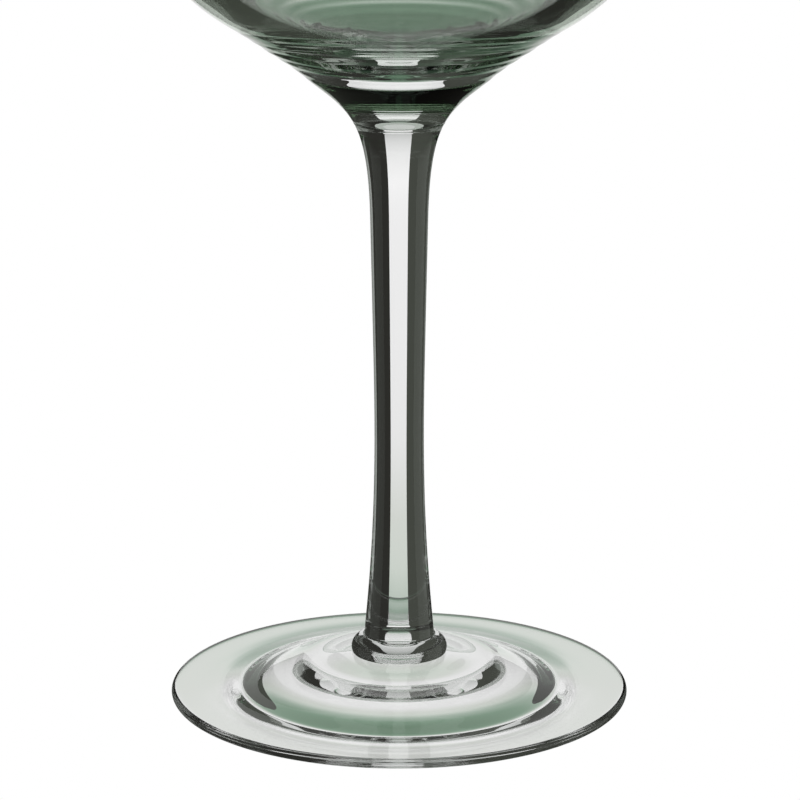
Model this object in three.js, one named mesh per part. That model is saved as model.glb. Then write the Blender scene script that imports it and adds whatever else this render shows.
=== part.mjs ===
// Stemmed wine glass, cased in two colours: a thick clear bowl with a thin green lining, on a
// drawn clear stem, a pressed collar and a domed clear foot.
//
// The glass is turned about the Z axis and stands on Z = 0. All lengths are in millimetres.
// Every piece is a solid of revolution: its outline is walked anticlockwise, from the axis at
// the bottom of the piece, up its outside and back to the axis (or to its own start).

import * as THREE from 'three';

// ---------------------------------------------------------------- driving dimensions

const FACETS = 48; // sides of each turned piece
const JOINT_GAP = 0.3; // clearance left where two pieces are fused on the real glass

// Heights of the fused joints, from the table up.
const FOOT_TOP = 7.8;
const COLLAR_TOP = 10.9;
const STEM_TOP = 102.7;
const GLASS_HEIGHT = 225;

// Foot: a thin, even flange around a thicker middle with a raised shoulder, hollow underneath.
const FOOT_RADIUS = 40;
const FOOT_RIM_THICKNESS = 1.76;
const HOLLOW_RADIUS = 27.5; // the underside is flat outside this radius, and the glass stands on it
const HOLLOW_HEIGHT = 5.8; // rise of the hollow at the axis
const FLANGE_INNER = 31; // where the flange meets the middle
const FLANGE_INNER_HEIGHT = 2.1;
const SHOULDER_RADIUS = 19; // the steepest ring of the top
const SHOULDER_HEIGHT = 5.4;

// Collar: a round-edged button between the foot and the stem.
const COLLAR_RADIUS = 8.36;
const COLLAR_WIDEST = 8.6; // height of its widest ring

// Bowl: the lower half of the casing and the cavity are parts of two spheres with one centre.
const BOWL_CENTRE = 165.7;
const CASING_SPHERE = 54;
const CAVITY_SPHERE = 47;
const BELLY_RADIUS = 52; // widest outside radius of the bowl
const BELLY_HEIGHT = 160;
const MOUTH_RADIUS = 38; // outside radius at the rim
const RIM_WALL = 1.1; // thickness of the clear casing at the rim
const LINING_WALL = 0.7; // thickness of the green lining up the wall
const LINING_FLOOR = 0.35; // thickness of the green lining at the cavity floor
const RIM_SETBACK = 0.5; // how far the lining stops below the rim

// ---------------------------------------------------------------- outlines

const at = (radius, height) => new THREE.Vector2(radius, height);
const line = (from, to) => new THREE.LineCurve(from, to);
const spline = (...points) => new THREE.SplineCurve(points);

/** A point on a sphere about the bowl's centre, at an angle in degrees above straight down. */
function onSphere(radius, degrees) {
  const turn = THREE.MathUtils.degToRad(degrees);
  return at(radius * Math.sin(turn), BOWL_CENTRE - radius * Math.cos(turn));
}

/** The arc of such a sphere between two of those angles. */
function sphereArc(radius, fromDegrees, toDegrees) {
  const [from, to] = [fromDegrees, toDegrees].map((d) => THREE.MathUtils.degToRad(d - 90));
  return new THREE.EllipseCurve(0, BOWL_CENTRE, radius, radius, from, to, from > to);
}

/** Points along a run of curves, each given with its number of steps. */
function outline(...stretches) {
  const points = stretches.flatMap(([curve, steps]) => curve.getPoints(steps));
  return points.filter((point, i) => i === 0 || point.distanceTo(points[i - 1]) > 1e-4);
}

// ---------------------------------------------------------------- pieces

function clearGlass() {
  return new THREE.MeshStandardMaterial({ color: 0xe9eeea, roughness: 0.04, metalness: 0 });
}

function greenGlass() {
  return new THREE.MeshStandardMaterial({ color: 0x5c8064, roughness: 0.04, metalness: 0 });
}

function turned(name, points, material) {
  const geometry = new THREE.LatheGeometry(points, FACETS);
  geometry.rotateX(Math.PI / 2);
  const mesh = new THREE.Mesh(geometry, material);
  mesh.name = name;
  return mesh;
}

function foot() {
  const edge = FOOT_RIM_THICKNESS / 2;
  const rimCentre = FOOT_RADIUS - edge;
  const flangeEnd = at(FLANGE_INNER, FLANGE_INNER_HEIGHT);
  const neck = at(COLLAR_RADIUS - 0.16, FOOT_TOP);
  const hollow = spline(
    at(0, HOLLOW_HEIGHT), at(8, HOLLOW_HEIGHT - 0.5), at(14, HOLLOW_HEIGHT - 1.5),
    at(21, HOLLOW_HEIGHT - 3), at(HOLLOW_RADIUS, 0),
  );
  const rim = new THREE.EllipseCurve(rimCentre, edge, edge, edge, -Math.PI / 2, Math.PI / 2);
  const middle = spline(
    flangeEnd, at(SHOULDER_RADIUS + 7, 3.1), at(SHOULDER_RADIUS + 3, SHOULDER_HEIGHT - 1.25),
    at(SHOULDER_RADIUS, SHOULDER_HEIGHT), at(SHOULDER_RADIUS - 2.5, SHOULDER_HEIGHT + 1.1),
    at(SHOULDER_RADIUS - 6, FOOT_TOP - 0.6), neck,
  );
  return turned('foot', outline(
    [hollow, 8],
    [line(at(HOLLOW_RADIUS, 0), at(rimCentre, 0)), 1],
    [rim, 4],
    [line(at(rimCentre, FOOT_RIM_THICKNESS), flangeEnd), 1],
    [middle, 12],
    [line(neck, at(0, FOOT_TOP)), 1],
  ), clearGlass());
}

function stemCollar() {
  const bottom = FOOT_TOP + JOINT_GAP;
  const lower = at(COLLAR_RADIUS - 0.1, bottom);
  const upper = at(COLLAR_RADIUS - 2, COLLAR_TOP);
  const side = spline(
    lower, at(COLLAR_RADIUS, COLLAR_WIDEST), at(COLLAR_RADIUS - 0.5, 10.1), upper,
  );
  return turned('stem_collar', outline(
    [line(at(0, bottom), lower), 1],
    [side, 6],
    [line(upper, at(0, COLLAR_TOP)), 1],
  ), clearGlass());
}

function stem() {
  const bottom = COLLAR_TOP + JOINT_GAP;
  const lower = at(6.1, bottom);
  const upper = at(7.9, STEM_TOP);
  const side = spline(
    lower, at(5.5, 18), at(4.75, 29), at(4.3, 46), at(4.5, 63), at(4.95, 84), at(5.7, 95.5), upper,
  );
  return turned('stem', outline(
    [line(at(0, bottom), lower), 1],
    [side, 18],
    [line(upper, at(0, STEM_TOP)), 1],
  ), clearGlass());
}

/** The cavity wall, from its floor to its edge, set back outwards by the given thicknesses. */
function cavityWall(floorSetback, wallSetback, top) {
  const belly = BELLY_RADIUS - RIM_WALL - JOINT_GAP - LINING_WALL - 0.2 + wallSetback;
  const mouth = MOUTH_RADIUS - RIM_WALL - JOINT_GAP - LINING_WALL + wallSetback;
  const shoulder = onSphere(CAVITY_SPHERE + wallSetback, 62);
  const floor = new THREE.EllipseCurve(
    0, BOWL_CENTRE, CAVITY_SPHERE + wallSetback, CAVITY_SPHERE + floorSetback,
    -Math.PI / 2, Math.atan2(shoulder.y - BOWL_CENTRE, shoulder.x), false,
  );
  const side = spline(
    floor.getPoint(1), at(belly - 2.4, BELLY_HEIGHT - 6), at(belly, BELLY_HEIGHT + 6),
    at(belly - 1.6, BELLY_HEIGHT + 20), at(mouth + 6.2, GLASS_HEIGHT - 22), at(mouth, top),
  );
  return { floor, side, edge: at(mouth, top) };
}

/** The clear casing: thick at its base, with the cavity for the lining turned out of it. */
function bowl() {
  const base = STEM_TOP + JOINT_GAP;
  const root = at(8.1, base);
  const flare = spline(root, at(11.4, 107), at(18.57, 113), onSphere(CASING_SPHERE, 30));
  const shoulder = onSphere(CASING_SPHERE, 61);
  const edge = RIM_WALL / 2;
  const mouth = at(MOUTH_RADIUS, GLASS_HEIGHT - edge);
  const side = spline(
    shoulder, at(BELLY_RADIUS - 1.3, BELLY_HEIGHT - 11), at(BELLY_RADIUS, BELLY_HEIGHT + 4),
    at(BELLY_RADIUS - 1.6, BELLY_HEIGHT + 20), at(MOUTH_RADIUS + 6.2, GLASS_HEIGHT - 22), mouth,
  );
  const rim = new THREE.EllipseCurve(MOUTH_RADIUS - edge, mouth.y, edge, edge, 0, Math.PI);
  const seat = cavityWall(LINING_FLOOR + JOINT_GAP, LINING_WALL + JOINT_GAP, mouth.y);
  const inside = outline([seat.floor, 9], [seat.side, 9]).reverse();
  return turned('bowl', [
    ...outline(
      [line(at(0, base), root), 1], [flare, 7], [sphereArc(CASING_SPHERE, 30, 61), 5], [side, 9], [rim, 4],
    ),
    ...inside.slice(1),
  ], clearGlass());
}

/** The green lining: a thin cup fused all over the inside of the casing. */
function bowlColourLayer() {
  const top = GLASS_HEIGHT - RIM_WALL / 2 - RIM_SETBACK;
  const outside = cavityWall(LINING_FLOOR, LINING_WALL, top);
  const inside = cavityWall(0, 0, top);
  return turned('bowl_colour_layer', [
    ...outline([outside.floor, 9], [outside.side, 9]),
    ...outline([inside.floor, 9], [inside.side, 9]).reverse(),
  ], greenGlass());
}

const glass = new THREE.Group();
glass.name = 'wine_glass';
glass.add(foot(), stemCollar(), stem(), bowl(), bowlColourLayer());

export default glass;
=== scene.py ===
# %% [markdown]
# # A stemmed wine glass, cased in two colours
#
# The glass has five pieces, all fused while hot: a thin round foot, a small collar, a drawn stem,
# a thick clear bowl, and a green layer on the inside of that bowl. This lesson builds each piece
# as its own mesh, turned about the glass's axis, and lights the whole as a product studio does.
#
# How the glass was made isn't known. What is said here about its making is judged from its look
# and from how such glasses are usually made.
#
# The CAD model of the same glass is loaded first. It fixes where everything is and how large it
# is; the meshes made here are much finer and take its place in the picture.

import math

import bpy
import numpy as np
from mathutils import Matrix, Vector


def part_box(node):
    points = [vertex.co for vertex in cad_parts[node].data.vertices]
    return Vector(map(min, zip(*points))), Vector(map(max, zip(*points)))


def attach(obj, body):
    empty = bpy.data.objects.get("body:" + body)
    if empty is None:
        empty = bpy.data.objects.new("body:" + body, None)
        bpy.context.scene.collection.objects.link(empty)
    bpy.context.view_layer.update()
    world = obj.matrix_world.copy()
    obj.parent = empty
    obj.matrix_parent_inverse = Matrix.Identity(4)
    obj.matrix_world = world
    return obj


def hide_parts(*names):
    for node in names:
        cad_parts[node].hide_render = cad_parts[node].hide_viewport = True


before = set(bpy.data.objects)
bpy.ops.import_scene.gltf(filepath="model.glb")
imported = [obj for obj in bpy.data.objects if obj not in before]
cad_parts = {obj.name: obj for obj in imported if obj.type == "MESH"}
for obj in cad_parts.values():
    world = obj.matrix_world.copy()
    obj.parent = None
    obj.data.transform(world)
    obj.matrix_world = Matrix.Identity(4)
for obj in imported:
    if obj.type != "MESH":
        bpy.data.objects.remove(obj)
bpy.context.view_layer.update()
scene = bpy.context.scene
MM = 0.001  # outlines below are drawn in millimetres, and Blender works in metres
GLASS_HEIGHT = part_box("bowl")[1][2] / MM
FOOT_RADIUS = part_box("foot")[1][0] / MM
print(f"CAD pieces: {sorted(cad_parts)}, {GLASS_HEIGHT:.1f} mm tall, foot {2 * FOOT_RADIUS:.1f} mm")

# %% [markdown]
# ## The camera
#
# A glass is photographed from a little above, so that the foot opens into an ellipse and its top
# can be read. A long lens from far away would flatten it. Here the lens is long and the camera is
# near, so only the foot, the stem and the base of the bowl are in the picture, and the ellipses
# still widen towards the viewer. The camera stands in front (at minus Y) and looks down by 16 degrees.

# %% Camera
CAMERA_PLACE = Vector((0.0, -0.8162, 0.2849))
CAMERA_TARGET = Vector((0.0, 0.0, 0.05336))
SENSOR_WIDTH = 36.0
LENS_LENGTH = 220.6
LENS_SHIFT = 0.001  # of the picture's width: it centres the stem

camera_data = bpy.data.cameras.new("camera")
camera_data.sensor_width = SENSOR_WIDTH
camera_data.lens = LENS_LENGTH
camera_data.shift_x = LENS_SHIFT
camera = bpy.data.objects.new("camera", camera_data)
camera.location = CAMERA_PLACE
camera.rotation_euler = (CAMERA_TARGET - CAMERA_PLACE).to_track_quat("-Z", "Y").to_euler()
scene.collection.objects.link(camera)
scene.camera = camera
print(f"camera {CAMERA_PLACE.length:.2f} m from the foot, lens {LENS_LENGTH:.0f} mm")

# %% [markdown]
# ## Two helpers for every material
#
# Colours are written the way a paint or screen colour is named, as a hex value, and one function
# turns that to the linear light that the renderer adds up. A second function adds one shader node
# with its settings and its links, so that a material reads as a short list.

# %% Colour and node helpers
def linear(hex_colour):
    """A colour such as '#a4c0a2' as linear red, green, blue and alpha."""
    parts = [int(hex_colour[i:i + 2], 16) / 255 for i in (1, 3, 5)]
    light = [c / 12.92 if c <= 0.04045 else ((c + 0.055) / 1.055) ** 2.4 for c in parts]
    return (*light, 1.0)


def add_node(tree, kind, settings=None, links=None):
    """Adds a node, sets its sockets or its own settings by name, and links sockets to outputs."""
    node = tree.nodes.new(kind)
    for name, value in (settings or {}).items():
        if isinstance(name, int) or name in node.inputs:
            node.inputs[name].default_value = value
        else:
            setattr(node, name, value)
    for socket, output in (links or {}).items():
        tree.links.new(output, node.inputs[socket])
    return node


def new_material(name):
    """A material with no nodes in it yet, and its node tree."""
    material = bpy.data.materials.new(name)
    material.use_nodes = True
    material.node_tree.nodes.clear()
    return material, material.node_tree


print(f"a screen colour of #808080 is {linear('#808080')[0]:.3f} of the light of white")

# %% [markdown]
# ## The studio
#
# Glass has almost no colour of its own: what is seen is its surroundings, bent and mirrored. So
# the studio does the drawing. It is a plain round room, 4 metres across. A bright, soft cloth hangs
# behind the glass, with a dark screen, or flag, at either side of it. Straight through the middle
# of the stem the eye meets the cloth, and nearer to its edges it meets the flags, which gives each
# solid part its dark outline. This is called bright-field lighting. Past the flags the walls are
# pale at the height of the stem: they are seen as the thin bright line along its very edge.
#
# Lamps could stand behind the cloth, but walls that glow by themselves give the same light with
# no noise. Below the horizon the cloth's glow fades to a dull green-grey, and looking down through
# the foot the eye meets that lower part: it is painted shadow, the green shade that the bowl casts
# on the table round the foot. The room turns with the camera, as a photographer turns a glass on
# its stand and leaves the lights alone.

# %% Room, cloth and floor
ROOM_RADIUS = 2.0
ROOM_BOTTOM = -5.0
ROOM_TOP = 4.0
WALL_STEP = 3.0  # degrees in each flat strip of the round wall

# Compass angles are in degrees to the right of straight behind the glass.
CLOTH_FROM, CLOTH_TO = -12.0, 14.0
FLAG_LEFT_FROM, FLAG_RIGHT_TO = -65.0, 56.0
FRONT_FROM, FRONT_TO = 110.0, 250.0  # the wall behind the camera
FULL_TURN = 360.0

FLAG_RIGHT = "#2c2c29"
FLAG_LEFT = "#454842"
PALE_RIGHT = "#a4a8a4"
PALE_LEFT = "#8c928c"
CEILING = "#c8ccc8"
GROUND = "#5a665c"
# Below the horizon these colours are painted shadow: the bowl's green shade on the table round the foot.
CLOTH_GLOW_AND_PAINTED_SHADOW = [  # degrees above the horizon, seen from the glass, and the cloth's colour there
    (-70, "#2c362d"), (-50, "#5a7560"), (-38, "#667d6a"), (-30, "#7c9682"), (-25, "#a8b8ab"),
    (-21.5, "#d3dad2"), (-19, "#d8dcd6"), (-15, "#eeeeee"), (-5, "#fcfcfc"), (10, "#ffffff"),
    (25, "#d4d2ce"), (40, "#8b9a8d"), (60, "#4a574c"),
]


def glowing(name, colour):
    """A wall that glows evenly."""
    material, tree = new_material(name)
    glow = add_node(tree, "ShaderNodeEmission", {"Color": linear(colour)})
    add_node(tree, "ShaderNodeOutputMaterial", links={"Surface": glow.outputs[0]})
    material.cycles.emission_sampling = "NONE"
    return material


def glowing_by_height(name, stops):
    """A wall whose glow depends on how high it is seen from the glass."""
    material, tree = new_material(name)
    place = add_node(tree, "ShaderNodeTexCoord")
    axes = add_node(tree, "ShaderNodeSeparateXYZ", links={0: place.outputs["Object"]})
    slope = add_node(tree, "ShaderNodeMath", {"operation": "DIVIDE", 1: ROOM_RADIUS}, {0: axes.outputs[2]})
    angle = add_node(tree, "ShaderNodeMath", {"operation": "ARCTANGENT"}, {0: slope.outputs[0]})
    share = add_node(tree, "ShaderNodeMapRange", {1: -math.pi / 2, 2: math.pi / 2}, {0: angle.outputs[0]})
    ramp = add_node(tree, "ShaderNodeValToRGB", links={0: share.outputs[0]})
    marks = ramp.color_ramp.elements
    marks.remove(marks[-1])
    for number, (degrees, colour) in enumerate(stops):
        mark = marks[0] if number == 0 else marks.new(0.5)
        mark.position = 0.5 + degrees / 180
        mark.color = linear(colour)
    glow = add_node(tree, "ShaderNodeEmission", links={"Color": ramp.outputs[0]})
    add_node(tree, "ShaderNodeOutputMaterial", links={"Surface": glow.outputs[0]})
    material.cycles.emission_sampling = "NONE"
    return material


def stage_object(name, corners, faces, material):
    """A piece of the studio: it isn't part of the glass."""
    mesh = bpy.data.meshes.new(name)
    mesh.from_pydata(corners, [], faces)
    mesh.materials.append(material)
    thing = bpy.data.objects.new(name, mesh)
    scene.collection.objects.link(thing)
    return thing


def curved_wall(name, start, end, material):
    """A stretch of the room's wall between two compass angles, 0 being straight behind the glass."""
    steps = max(2, round((end - start) / WALL_STEP))
    angles = np.radians(np.linspace(start, end, steps + 1))
    corners = [
        (ROOM_RADIUS * math.sin(a), ROOM_RADIUS * math.cos(a), height)
        for a in angles for height in (ROOM_BOTTOM, ROOM_TOP)
    ]
    faces = [(2 * i, 2 * i + 2, 2 * i + 3, 2 * i + 1) for i in range(steps)]
    return stage_object(name, corners, faces, material)


def level_square(name, half_side, height, material):
    """A flat square of the studio, centred under or over the glass."""
    corners = [(x * half_side, y * half_side, height) for x, y in ((-1, -1), (1, -1), (1, 1), (-1, 1))]
    return stage_object(name, corners, [(0, 1, 2, 3)], material)


def pale_at_stem(name, colour):
    """A wall that is pale level with the stem, and dark above and below."""
    dark = FLAG_RIGHT
    stops = [(-70, dark), (-34, dark), (-24, colour), (0, colour), (30, dark), (60, dark)]
    return glowing_by_height(name, stops)


dark_felt = glowing("dark_felt", FLAG_RIGHT)
# The cloth's glow, with painted shadow in its lower part.
cloth_with_painted_shadow = glowing_by_height("cloth_with_painted_shadow", CLOTH_GLOW_AND_PAINTED_SHADOW)
pale_wall_right = pale_at_stem("pale_wall_right", PALE_RIGHT)
pale_wall_left = pale_at_stem("pale_wall_left", PALE_LEFT)
grey_felt = glowing("grey_felt", FLAG_LEFT)
cap_size = 1.2 * ROOM_RADIUS  # the ceiling and the ground reach past the round wall
room = [
    # the cloth, whose lower part is painted shadow
    curved_wall("cloth_behind_with_painted_shadow", CLOTH_FROM, CLOTH_TO, cloth_with_painted_shadow),
    curved_wall("flag_right", CLOTH_TO, FLAG_RIGHT_TO, dark_felt),
    curved_wall("wall_right", FLAG_RIGHT_TO, FRONT_FROM, pale_wall_right),
    curved_wall("wall_front", FRONT_FROM, FRONT_TO, dark_felt),
    curved_wall("wall_left", FRONT_TO, FULL_TURN + FLAG_LEFT_FROM, pale_wall_left),
    curved_wall("flag_left", FULL_TURN + FLAG_LEFT_FROM, FULL_TURN + CLOTH_FROM, grey_felt),
    level_square("ceiling", cap_size, ROOM_TOP, glowing("soft_ceiling", CEILING)),
    level_square("ground", cap_size, ROOM_BOTTOM, glowing("grey_ground", GROUND)),
]

turntable = bpy.data.objects.new("turntable", None)
scene.collection.objects.link(turntable)
follow = turntable.constraints.new("LOCKED_TRACK")
follow.target = camera
follow.track_axis = "TRACK_NEGATIVE_Y"
follow.lock_axis = "LOCK_Z"
for wall in room:
    wall.parent = turntable
    wall.visible_camera = False

# The floor is plain and so brightly lit that it shows as white paper. Only the camera sees it.
FLOOR_HALF_SIDE, FLOOR_HEIGHT = 6.0, -0.0005
floor = level_square("floor", FLOOR_HALF_SIDE, FLOOR_HEIGHT, glowing("white_floor", "#ffffff"))
floor.visible_glossy = False
floor.visible_transmission = False
floor.visible_diffuse = False
floor.visible_shadow = False

world = bpy.data.worlds.new("white_room")
world.use_nodes = True
world.node_tree.nodes["Background"].inputs["Color"].default_value = linear("#ffffff")
scene.world = world
scene.view_settings.view_transform = "Standard"
print(f"studio: {len(room)} walls, cloth {CLOTH_TO - CLOTH_FROM:.0f} degrees wide")

# %% [markdown]
# A ray of light that enters thick glass is mirrored inside it many times before it leaves. The
# renderer gives up after a set number of turns and shows black, so the number is raised here.

# %% Light paths long enough for thick glass
GLASS_TURNS = 48
scene.cycles.max_bounces = GLASS_TURNS
scene.cycles.transmission_bounces = GLASS_TURNS
scene.cycles.glossy_bounces = 24
scene.cycles.diffuse_bounces = 4
scene.cycles.transparent_max_bounces = 64
scene.cycles.caustics_refractive = True
scene.cycles.caustics_reflective = True
print(f"light may turn {GLASS_TURNS} times in the glass")

# %% [markdown]
# ## The materials
#
# **Clear crystal.** The bowl's casing, the stem, the collar and the foot are one clear glass. It is
# taken as lead-free crystal, whose refractive index is about 1.5, shaped hot and polished by the
# flame. Such a surface has no roughness at all, but it isn't flat either: tools and gravity leave
# faint, slow swells about a centimetre long. The eye can't see them directly, only that
# reflections wander a little. A soft noise pattern, as a bump, gives that.
#
# **Fused joint.** Where two pieces meet, the real glass is one body and the joint can't be seen.
# The two meshes each have a closed end there, and a fully transparent surface on it lets light
# pass as if the glass went on.
#
# **Green layer.** The bowl is blown over a thin bubble of green glass. The colour isn't on the
# surface but in the depth of the glass, so it is made by absorption: the further light travels
# through the layer, the greener and darker it gets. The layer lies inside the clear wall, and
# both have the same refractive index, so light isn't bent where they meet.

# %% Clear crystal, fused joint and green layer
GLASS_IOR = 1.5
SWELL_LENGTH = 11.0  # mm, from one swell to the next
SWELL_HEIGHT = 0.005  # mm
WHITE = "#ffffff"
GREEN = "#a4c0a2"  # the colour that the layer lets through
GREEN_DENSITY = 330.0  # per metre of depth


def clear_crystal():
    """Fire-polished clear glass: the eye gets sharp reflections that wander a little."""
    material, tree = new_material("clear_crystal_fire_polished")
    place = add_node(tree, "ShaderNodeTexCoord")
    swells = add_node(
        tree, "ShaderNodeTexNoise",
        {"Scale": 1 / (SWELL_LENGTH * MM), "Detail": 1.0, "Roughness": 0.4},
        {"Vector": place.outputs["Object"]},
    )
    bump = add_node(
        tree, "ShaderNodeBump", {"Strength": 1.0, "Distance": SWELL_HEIGHT * MM},
        {"Height": swells.outputs[0]},
    )
    glass = add_node(
        tree, "ShaderNodeBsdfPrincipled",
        {"Base Color": linear(WHITE), "Roughness": 0.0, "IOR": GLASS_IOR, "Transmission Weight": 1.0},
        {"Normal": bump.outputs[0]},
    )
    add_node(tree, "ShaderNodeOutputMaterial", links={"Surface": glass.outputs[0]})
    return material


def fused_joint():
    """An end that is fused to its neighbour: the eye gets nothing at all."""
    material, tree = new_material("fused_joint")
    through = add_node(tree, "ShaderNodeBsdfTransparent")
    add_node(tree, "ShaderNodeOutputMaterial", links={"Surface": through.outputs[0]})
    return material


def green_layer_glass():
    """Green glass inside clear glass: the eye gets a grey-green that deepens with the path."""
    material, tree = new_material("green_glass_by_depth")
    surface = add_node(
        tree, "ShaderNodeBsdfPrincipled",
        {"Base Color": linear(WHITE), "Roughness": 0.0, "IOR": 1.0, "Transmission Weight": 1.0},
    )
    depth = add_node(
        tree, "ShaderNodeVolumeAbsorption",
        {"Color": linear(GREEN), "Density": GREEN_DENSITY},
    )
    add_node(
        tree, "ShaderNodeOutputMaterial",
        links={"Surface": surface.outputs[0], "Volume": depth.outputs[0]},
    )
    return material


CLEAR = clear_crystal()
JOINT = fused_joint()
GREEN_GLASS = green_layer_glass()
print(f"materials: {CLEAR.name}, {JOINT.name}, {GREEN_GLASS.name}")

# %% [markdown]
# ## Turning outlines into meshes
#
# Every piece was shaped while it turned on the glassmaker's iron, so every piece is a body of
# revolution. Blender's Screw modifier could turn an outline, or a subdivided cage could be used,
# but glass shows every small flat, so the outline is drawn as a smooth curve with many points and
# turned in 224 steps, with the vertices written out directly.

# %% Smooth curves and the lathe
TURNED_STEPS = 224
SAME_POINT = 1e-4  # mm: closer points are one point
ON_AXIS = 1e-6  # mm


def smooth_curve(points, count):
    """This many points on the natural cubic curve through a few points of (radius, height)."""
    knots = np.array(points, float)
    along = np.r_[0.0, np.cumsum(np.hypot(*np.diff(knots, axis=0).T))]
    gaps = np.diff(along)
    size = len(knots)
    system = np.zeros((size, size))
    right = np.zeros((size, 2))
    system[0, 0] = system[-1, -1] = 1.0
    for i in range(1, size - 1):
        system[i, i - 1:i + 2] = gaps[i - 1], 2 * (gaps[i - 1] + gaps[i]), gaps[i]
        right[i] = 6 * ((knots[i + 1] - knots[i]) / gaps[i] - (knots[i] - knots[i - 1]) / gaps[i - 1])
    bend = np.linalg.solve(system, right)
    place = np.linspace(0.0, along[-1], count)
    span = np.clip(np.searchsorted(along, place) - 1, 0, size - 2)
    gap = gaps[span][:, None]
    back = (along[span + 1] - place)[:, None] / gap
    ahead = 1.0 - back
    curve = back * knots[span] + ahead * knots[span + 1]
    return curve + ((back**3 - back) * bend[span] + (ahead**3 - ahead) * bend[span + 1]) * gap**2 / 6


def arc(radius, centre, start, end, count):
    """Points on a circle about (radius, height), by degrees from straight down towards outwards."""
    turn = np.radians(np.linspace(start, end, count))
    return np.stack([centre[0] + radius * np.sin(turn), centre[1] - radius * np.cos(turn)], axis=1)


def outward_from(curve):
    """At each point of an outline, the direction square to it, to the right as one walks along."""
    along = np.gradient(curve, axis=0)
    square = np.stack([along[:, 1], -along[:, 0]], axis=1)
    return square / np.linalg.norm(square, axis=1)[:, None]


def lathe(name, stretches):
    """Turns an outline about the axis. It is given as stretches of (points, material), bottom up."""
    outline = []
    finish = []
    materials = []
    for points, material in stretches:
        if material not in materials:
            materials.append(material)
        for radius, height in points:
            if outline and math.dist(outline[-1], (radius, height)) < SAME_POINT:
                continue
            if outline:
                finish.append(materials.index(material))
            outline.append((radius, height))
    turn = np.linspace(0.0, 2 * math.pi, TURNED_STEPS, endpoint=False)
    corners = []
    rings = []
    for radius, height in outline:
        if radius < ON_AXIS:
            rings.append([len(corners)] * TURNED_STEPS)
            corners.append((0.0, 0.0, height * MM))
        else:
            rings.append(list(range(len(corners), len(corners) + TURNED_STEPS)))
            corners += [(radius * MM * math.cos(t), radius * MM * math.sin(t), height * MM) for t in turn]
    faces = []
    face_finish = []
    for lower, upper, number in zip(rings, rings[1:], finish):
        for k in range(TURNED_STEPS):
            n = (k + 1) % TURNED_STEPS
            corner_loop = list(dict.fromkeys((lower[k], lower[n], upper[n], upper[k])))
            if len(corner_loop) > 2:
                faces.append(corner_loop)
                face_finish.append(number)
    mesh = bpy.data.meshes.new(name)
    mesh.from_pydata(corners, [], faces)
    for material in materials:
        mesh.materials.append(material)
    mesh.polygons.foreach_set("material_index", face_finish)
    mesh.polygons.foreach_set("use_smooth", [True] * len(faces))
    mesh.update()
    piece = bpy.data.objects.new(name, mesh)
    scene.collection.objects.link(piece)
    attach(piece, "root")
    print(f"{name}: {len(faces)} faces, {outline[0][1]:.1f} to {max(h for _, h in outline):.1f} mm high")
    return piece


print(f"each piece is turned in {TURNED_STEPS} steps of {360 / TURNED_STEPS:.1f} degrees")

# %% [markdown]
# ## The foot
#
# The foot is a gather of clear glass, pressed flat while hot and spun out to a thin flange. It
# stands on a flat ring near its edge. The middle of its underside is hollow, like a shallow dome,
# and its top rises in a shoulder to the collar. A plain disc would show the cloth evenly. The
# hollow and the shoulder bend what is seen through the foot: that is where its two dark crescents
# and the shape of its green-grey band come from, so both surfaces are drawn, not only the top. The
# band's green-grey itself is the painted shadow low on the cloth.

# %% Foot
FOOT_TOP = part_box("foot")[1][2] / MM
JOINT_GAP = 0.005  # mm, the thickness of the fused joint's two coincident ends
RIM_THICKNESS = 1.76
NECK_RADIUS = 8.2  # where the foot ends and the collar begins
HOLLOW_HEIGHT = 5.8

rim_round = RIM_THICKNESS / 2
underside = smooth_curve([
    (0, HOLLOW_HEIGHT), (8, 5.35), (14, 4.35), (18, 3.65), (21, 2.8), (24, 1.72), (26.5, 0.42),
    (27.3, 0.05), (29, 0), (33, 0), (38, 0),
], 90)
rim = arc(rim_round, (FOOT_RADIUS - rim_round, rim_round), 0, 180, 30)
dome = smooth_curve([
    (FOOT_RADIUS - rim_round, RIM_THICKNESS), (36, 1.82), (33, 1.92), (31, 2.1), (28.5, 2.6),
    (26, 3.1), (23, 3.85), (20, 4.95), (18, 5.85), (16.5, 6.5), (14, 7.1), (11, 7.5), (9, 7.72),
    (NECK_RADIUS, FOOT_TOP),
], 180)
foot_outline = np.concatenate([np.maximum(underside, 0), rim, dome])
foot = lathe("foot_glass", [(foot_outline, CLEAR), ([(NECK_RADIUS, FOOT_TOP), (0, FOOT_TOP)], JOINT)])

# %% [markdown]
# ## The collar
#
# A small bit of hot glass is wrapped between the foot and the stem and squeezed to a button. Its
# round edge is widest a little below its middle. A torus would have too round an edge, so its side
# is a smooth curve like the others.

# %% Collar
COLLAR_BOTTOM = FOOT_TOP + JOINT_GAP
COLLAR_TOP = 10.9
COLLAR_NECK = 6.35
collar_side = smooth_curve([
    (NECK_RADIUS, COLLAR_BOTTOM), (8.36, 8.5), (8.25, 9.3), (7.8, 10.1), (7.0, 10.7),
    (COLLAR_NECK, COLLAR_TOP),
], 40)
collar = lathe("collar_glass", [
    ([(0, COLLAR_BOTTOM), (NECK_RADIUS, COLLAR_BOTTOM)], JOINT),
    (collar_side, CLEAR),
    ([(COLLAR_NECK, COLLAR_TOP), (0, COLLAR_TOP)], JOINT),
])

# %% [markdown]
# ## The stem and the outside of the bowl
#
# The stem is drawn straight out of the bowl's heavy base, so one smooth curve runs from the
# collar up the stem, round the base and up the bowl to its mouth. The base of the bowl is part of
# a sphere. The curve is drawn once and cut at the height where the stem piece ends, so that the
# stem and the bowl meet with no kink.

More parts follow.
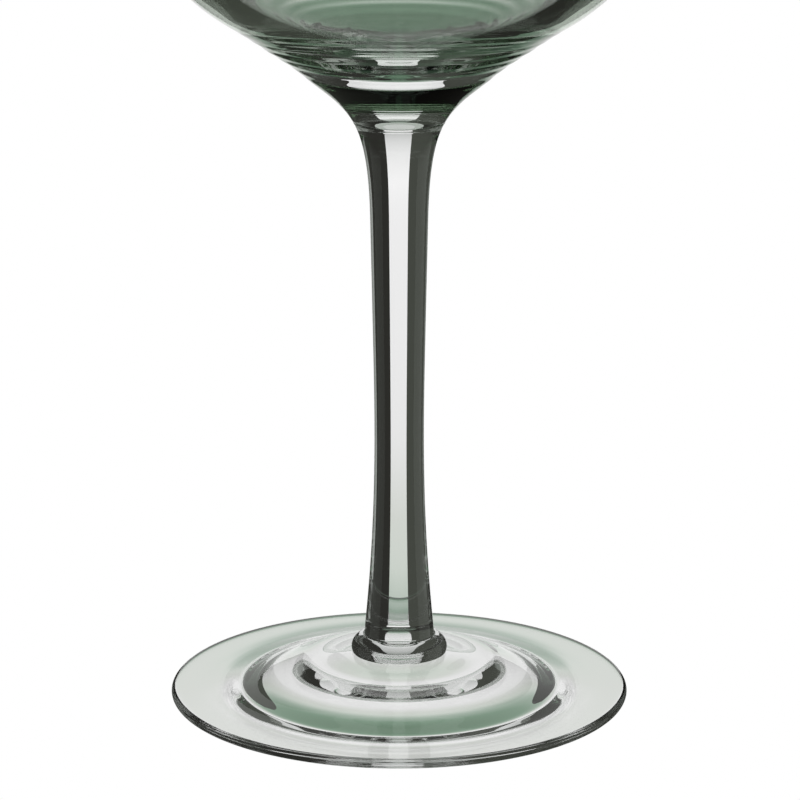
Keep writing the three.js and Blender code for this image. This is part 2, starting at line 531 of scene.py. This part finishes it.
# %% Outer curve of the stem and the bowl
STEM_BOTTOM = COLLAR_TOP + JOINT_GAP
STEM_FOOT_RADIUS = 6.15
STEM_TOP = 102.7
BOWL_CENTRE = 165.7  # height of the centre of both spheres of the bowl's base
CASING_SPHERE = 54.0
MOUTH_RADIUS = 38.0
RIM_ROUND = 0.55  # half of the wall's thickness at the mouth

casing_arc = arc(CASING_SPHERE, (0, BOWL_CENTRE), 30, 60, 6)
outer_curve = smooth_curve([
    (STEM_FOOT_RADIUS, STEM_BOTTOM), (5.5, 18), (4.75, 29), (4.3, 46), (4.5, 63), (4.95, 84), (5.7, 95.5),
    (7.9, STEM_TOP), (11.4, 107), (15.0, 110), (18.57, 113), (22.8, 116), *casing_arc,
    (50.7, 149), (52, 164), (50.4, 180), (44.2, 203), (MOUTH_RADIUS, GLASS_HEIGHT - RIM_ROUND),
], 720)
print(f"outer curve: {len(outer_curve)} points, widest at {outer_curve[:, 0].max():.1f} mm")

# %% [markdown]
# Thin level lines cross the bowl's base. Low rings round its outside, such as a shaping tool leaves
# in hot glass, would draw them, so that is what they are made of here. They could be a bump in the
# material, but the thick glass behind magnifies them, and then a true wave in the surface looks
# right from every side.

# %% Tool rings on the base
RING_HEIGHT = 0.055  # mm, from the middle of a tool ring to its crest
RING_PITCH = 2.6
RING_FROM, RING_TO = 15.0, 28.0  # radii between which the rings lie
RING_FADE = 0.7  # below 1, the rings reach their full height sooner

outer_radius = outer_curve[:, 0]
ring_place = np.clip((outer_radius - RING_FROM) / (RING_TO - RING_FROM), 0, 1)
ring_swell = RING_HEIGHT * np.sin(math.pi * ring_place) ** RING_FADE
ring_wave = np.sin(2 * math.pi * (outer_radius - RING_FROM) / RING_PITCH)
outer_curve = outer_curve + (ring_swell * ring_wave)[:, None] * outward_from(outer_curve)
print(f"{(RING_TO - RING_FROM) / RING_PITCH:.0f} tool rings, {RING_PITCH:.1f} mm apart")

# %% Stem
cut = int(np.searchsorted(outer_curve[:, 1], STEM_TOP))
cut_radius, cut_height = outer_curve[cut]
stem = lathe("stem_glass", [
    ([(0, STEM_BOTTOM), (STEM_FOOT_RADIUS, STEM_BOTTOM)], JOINT),
    (outer_curve[:cut + 1], CLEAR),
    ([(cut_radius, cut_height), (0, cut_height)], JOINT),
])

# %% [markdown]
# ## The bowl
#
# The bowl is thick at its base and thin at its mouth. Its cavity starts as a smaller sphere about
# the same centre as the outside, so the base's sides are evenly thick, and it ends at a rim that was
# melted round. An offset of the outer curve could give the cavity, but a blown wall isn't even: it
# thins towards the mouth, so the cavity is a curve of its own. There is a round mark on the
# cavity's floor, from a cause that isn't known. It is made as a very low ridge.

# %% Cavity
CAVITY_SPHERE = 49.2
SPHERE_TO = 62  # degrees from straight down at which the sphere ends
CAVITY_SIDE_FROM = 50  # the side's curve starts on the sphere before that, so that they run on
FLOOR_MARK_RADIUS = 8.4
FLOOR_MARK_WIDTH = 0.5
FLOOR_MARK_HEIGHT = 0.05

cavity_floor = arc(CAVITY_SPHERE, (0, BOWL_CENTRE), 0, SPHERE_TO, 170)
cavity_side = smooth_curve([
    *arc(CAVITY_SPHERE, (0, BOWL_CENTRE), CAVITY_SIDE_FROM, SPHERE_TO, 3),
    (48.6, 154), (50.1, 166), (48.5, 180), (42.1, 203),
    (MOUTH_RADIUS - 2 * RIM_ROUND, GLASS_HEIGHT - RIM_ROUND),
], 110)
past_floor = cavity_side[:, 1] > cavity_floor[-1][1] + 0.2
cavity = np.concatenate([cavity_floor, cavity_side[past_floor]])
from_mark = (cavity[:, 0] - FLOOR_MARK_RADIUS) / FLOOR_MARK_WIDTH
cavity[:, 1] += FLOOR_MARK_HEIGHT * np.exp(-(from_mark**2)) * (cavity[:, 1] < BOWL_CENTRE)
print(f"cavity floor {cavity[0][1]:.1f} mm up, {cavity[0][1] - STEM_TOP:.1f} mm above the stem")

# %% Bowl
bowl_bottom = cut_height + JOINT_GAP
bowl_rim = arc(RIM_ROUND, (MOUTH_RADIUS - RIM_ROUND, GLASS_HEIGHT - RIM_ROUND), 90, 270, 12)
bowl = lathe("bowl_glass", [
    ([(0, bowl_bottom), (cut_radius, bowl_bottom)], JOINT),
    (np.concatenate([outer_curve[cut + 1:], bowl_rim, cavity[::-1]]), CLEAR),
])

# %% [markdown]
# ## The green layer
#
# The layer follows the cavity just under its surface. It was drawn thin where the bubble was
# pushed out most, at the cavity's floor, and has its full thickness up the wall. It could be a
# colour on the cavity's surface, but then its edge at the mouth and its slow fade at the floor
# would be lost, so it is a closed thin cup of its own.

# %% Green layer
LAYER_THICKNESS = 0.7
LAYER_AT_FLOOR = 0.01
LAYER_DEPTH = 0.02  # mm of clear glass between the layer and the cavity
FADE_FROM, FADE_TO = 10.0, 44.0  # radii between which the layer thickens
LAYER_TOP = GLASS_HEIGHT - 1.0

into_wall = outward_from(cavity)
share = np.clip((cavity[:, 0] - FADE_FROM) / (FADE_TO - FADE_FROM), 0, 1)
share = np.where(cavity[:, 1] > BOWL_CENTRE, 1.0, share)
thickness = LAYER_AT_FLOOR + LAYER_THICKNESS * share
inner_face = cavity + LAYER_DEPTH * into_wall
outer_face = cavity + (LAYER_DEPTH + thickness)[:, None] * into_wall
inner_face[0, 0] = outer_face[0, 0] = 0.0
below_top = cavity[:, 1] < LAYER_TOP
green_layer = lathe("green_layer", [
    (np.concatenate([outer_face[below_top], inner_face[below_top][::-1]]), GREEN_GLASS),
])

# %% [markdown]
# ## Taking the place of the CAD pieces
#
# Each fine piece takes the place of its CAD piece, which is hidden.

# %% Replace the CAD pieces
for piece, node, slot in [
    (foot, "foot", "clear_glass"),
    (collar, "stem_collar", "clear_glass"),
    (stem, "stem", "clear_glass"),
    (bowl, "bowl", "clear_glass"),
    (green_layer, "bowl_colour_layer", "green_glass"),
]:
    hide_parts(node)
    print(f"{piece.name} takes the place of {node}")
